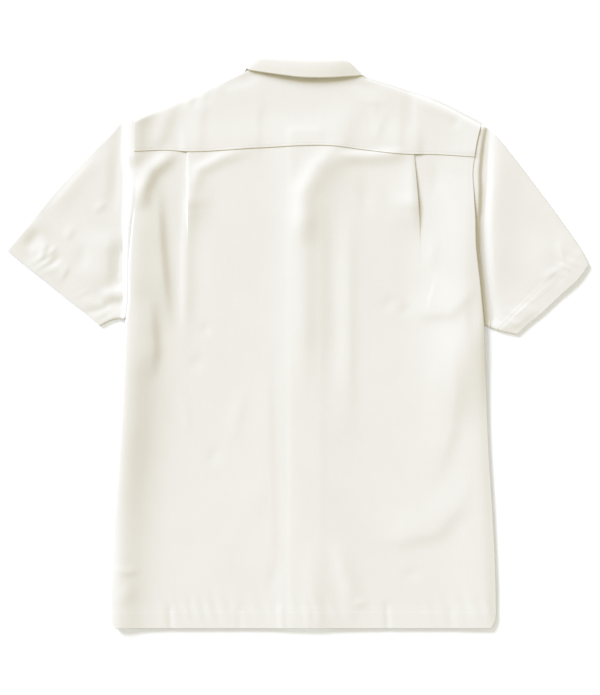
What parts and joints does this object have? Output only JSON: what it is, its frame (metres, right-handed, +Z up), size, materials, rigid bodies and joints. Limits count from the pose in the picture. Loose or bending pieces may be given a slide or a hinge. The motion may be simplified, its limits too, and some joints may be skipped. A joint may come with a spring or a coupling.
{
  "type": "camp shirt laid flat",
  "caption": "Short-sleeved camp shirt laid flat on its front, with a back yoke, back pleats and an open collar.",
  "frame": {"origin": "bottom centre of the bounding box, on the surface the shirt lies on", "axes": "+Z up from the surface through the cloth, +Y from the hem towards the collar, +X towards the wearer's right sleeve"},
  "size_m": [0.78, 0.7662, 0.0134],
  "materials": {
    "shirting": "soft matt cream-white shirting with a smooth hand",
    "collar_cloth": "the same shirting, two layers, pressed smooth",
    "button": "satin off-white"
  },
  "bodies": {
    "root": {"back_panel": "shirting", "back_yoke": "shirting", "left_front": "shirting", "right_front": "shirting", "left_sleeve": "shirting", "right_sleeve": "shirting", "collar": "collar_cloth", "button_1": "button", "button_2": "button", "button_3": "button", "button_4": "button", "button_5": "button", "button_6": "button"}
  },
  "joints": []
}
